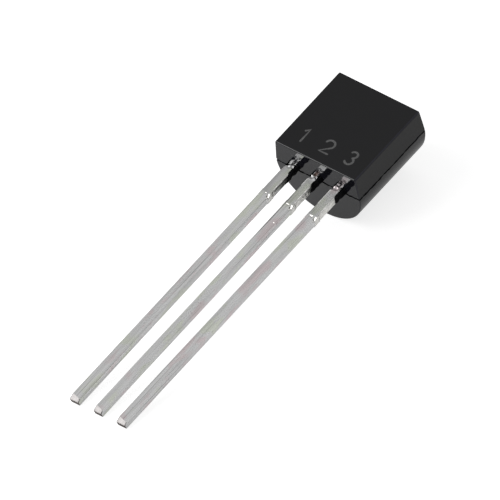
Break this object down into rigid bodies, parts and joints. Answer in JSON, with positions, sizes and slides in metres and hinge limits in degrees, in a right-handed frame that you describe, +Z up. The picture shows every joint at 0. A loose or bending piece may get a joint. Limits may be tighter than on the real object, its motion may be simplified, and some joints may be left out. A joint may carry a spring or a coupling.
{
  "type": "to-92 transistor",
  "caption": "Small black plastic transistor with a flat face, a rounded back and straight tinned leads in a row, lying on its back.",
  "frame": {"origin": "on the ground under the middle of the part's box, as it lies on its rounded back and its lead tips", "axes": "+X from pin 1 to pin 3, +Y along the part from the lead tips to the top of the moulding, +Z up, out of the flat face"},
  "size_m": [0.0046, 0.0204, 0.0041],
  "materials": {
    "black_epoxy": "satin",
    "tinned_lead": "satin",
    "bond_metal": "matte",
    "silicon": "polished",
    "gold_wire": "polished"
  },
  "bodies": {
    "root": {"mould_body": "black_epoxy", "emitter_lead": "tinned_lead", "base_lead": "tinned_lead", "collector_lead": "tinned_lead", "die_bond": "bond_metal", "silicon_die": "silicon", "emitter_wire": "gold_wire", "base_wire": "gold_wire"}
  },
  "joints": []
}
